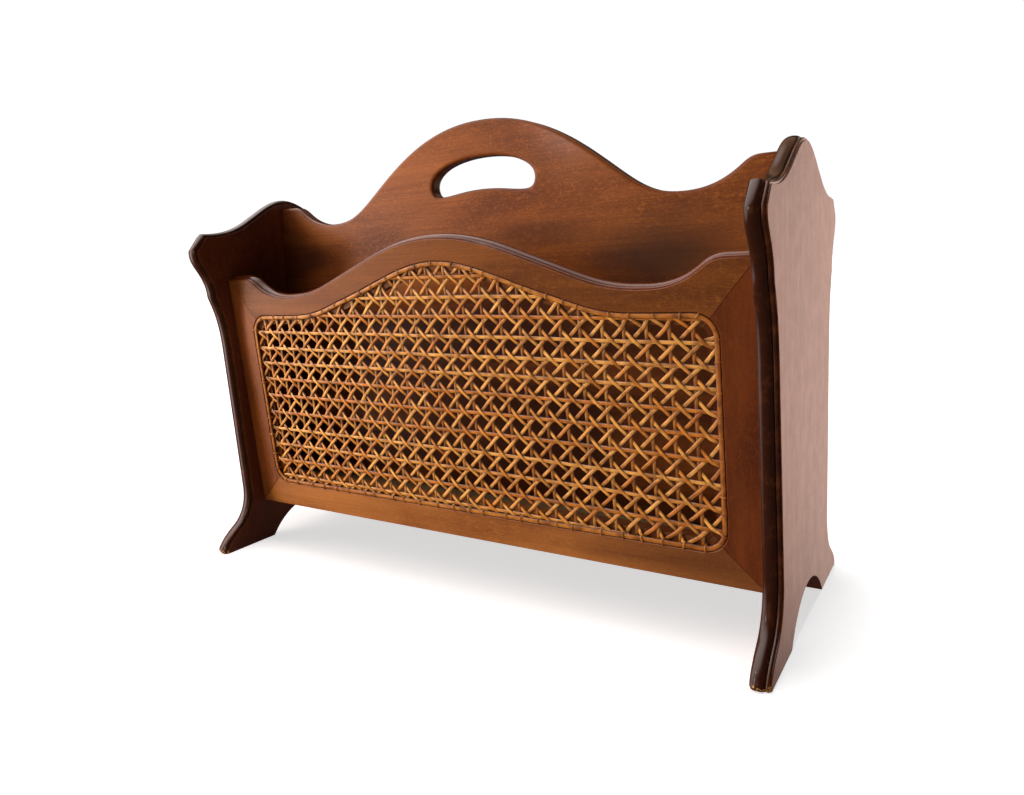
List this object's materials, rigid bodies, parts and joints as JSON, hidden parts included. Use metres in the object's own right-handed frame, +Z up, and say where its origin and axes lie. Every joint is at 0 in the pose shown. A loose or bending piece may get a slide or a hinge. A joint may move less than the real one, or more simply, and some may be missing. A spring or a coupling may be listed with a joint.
{
  "type": "magazine rack",
  "caption": "Magazine rack with moulded end panels on flared feet, leaning framed cane sides and a central divider with a hand hole.",
  "frame": {"origin": "on the floor under the middle of the rack, at the bottom centre of its bounding box", "axes": "+Z up, X along the rack from end panel to end panel, -Y towards the front"},
  "size_m": [0.506, 0.2158, 0.372],
  "materials": {
    "panel_wood": "dark polished mahogany",
    "frame_wood": "polished mahogany",
    "divider_wood": "polished mahogany",
    "board_wood": "plain, thinly stained",
    "beech": "bare",
    "cane": "glossy stained cane",
    "binder_cane": "glossy stained flat cane",
    "steel": "plain steel screw"
  },
  "bodies": {
    "root": {"left_end_panel": "panel_wood", "right_end_panel": "panel_wood", "handle_divider": "divider_wood", "bottom_board": "board_wood", "left_cleat": "board_wood", "right_cleat": "board_wood", "cleat_screw_1": "steel", "cleat_screw_2": "steel", "cleat_screw_3": "steel", "cleat_screw_4": "steel", "cleat_screw_5": "steel", "cleat_screw_6": "steel", "cleat_screw_7": "steel", "cleat_screw_8": "steel", "divider_screw_1": "steel", "divider_screw_2": "steel", "divider_screw_3": "steel", "front_top_rail": "frame_wood", "front_bottom_rail": "frame_wood", "front_left_stile": "frame_wood", "front_right_stile": "frame_wood", "front_cane_panel": "cane", "front_cane_binder": "binder_cane", "front_mitre_spline_1": "beech", "front_mitre_spline_2": "beech", "front_mitre_spline_3": "beech", "front_mitre_spline_4": "beech", "front_frame_dowel_1": "beech", "front_frame_dowel_2": "beech", "front_frame_dowel_3": "beech", "front_frame_dowel_4": "beech", "front_frame_dowel_5": "beech", "front_frame_dowel_6": "beech", "back_top_rail": "frame_wood", "back_bottom_rail": "frame_wood", "back_left_stile": "frame_wood", "back_right_stile": "frame_wood", "back_cane_panel": "cane", "back_cane_binder": "binder_cane", "back_mitre_spline_1": "beech", "back_mitre_spline_2": "beech", "back_mitre_spline_3": "beech", "back_mitre_spline_4": "beech", "back_frame_dowel_1": "beech", "back_frame_dowel_2": "beech", "back_frame_dowel_3": "beech", "back_frame_dowel_4": "beech", "back_frame_dowel_5": "beech", "back_frame_dowel_6": "beech"}
  },
  "joints": []
}
